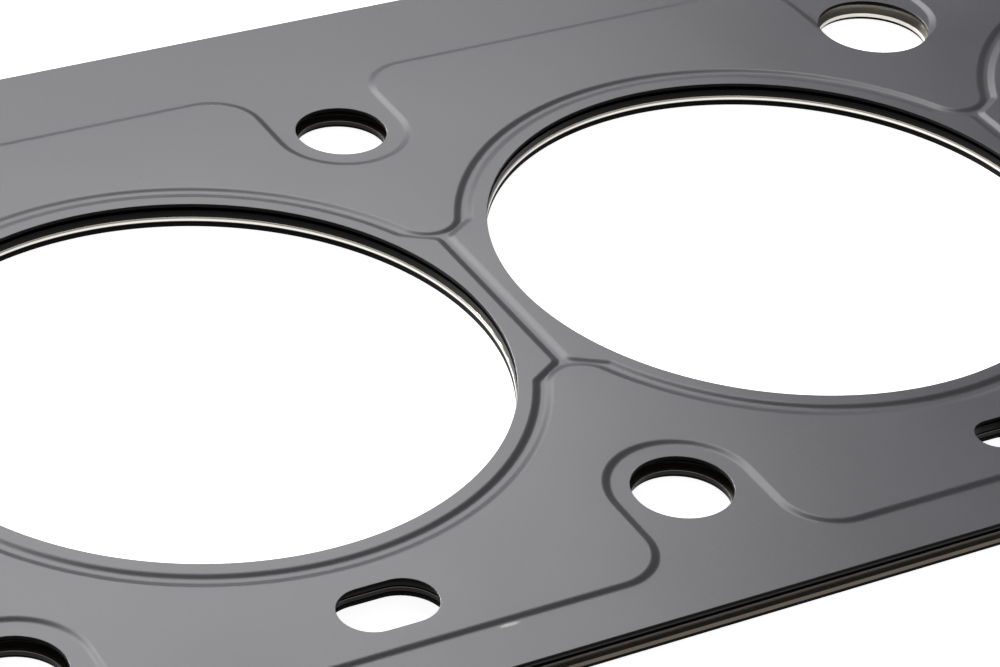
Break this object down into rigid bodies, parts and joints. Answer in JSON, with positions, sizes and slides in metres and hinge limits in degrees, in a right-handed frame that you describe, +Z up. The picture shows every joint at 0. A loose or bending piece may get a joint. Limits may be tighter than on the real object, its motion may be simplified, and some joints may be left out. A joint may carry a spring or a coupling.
{
  "type": "cylinder head gasket",
  "caption": "Multi-layer steel cylinder head gasket with beaded coated sheets, a bare spacer with stopper rings, bolt holes and coolant slots.",
  "frame": {"origin": "middle of the gasket's footprint, on its lower face, which meets the engine block", "axes": "+X along the row of bores, +Y across the engine, +Z up towards the cylinder head"},
  "size_m": [0.3948, 0.1498, 0.0036],
  "materials": {
    "coated_steel": "satin fluoro-rubber coating on spring steel",
    "bare_steel": "bare rolled stainless steel",
    "plated_steel": "zinc-plated steel"
  },
  "bodies": {
    "root": {"top_sheet": "coated_steel", "upper_inner_sheet": "coated_steel", "lower_inner_sheet": "coated_steel", "spacer_sheet": "bare_steel", "bottom_sheet": "coated_steel", "stopper_ring_1": "bare_steel", "stopper_ring_2": "bare_steel", "stopper_ring_3": "bare_steel", "stopper_ring_4": "bare_steel", "eyelet_1": "plated_steel", "eyelet_2": "plated_steel", "eyelet_3": "plated_steel", "eyelet_4": "plated_steel"}
  },
  "joints": []
}
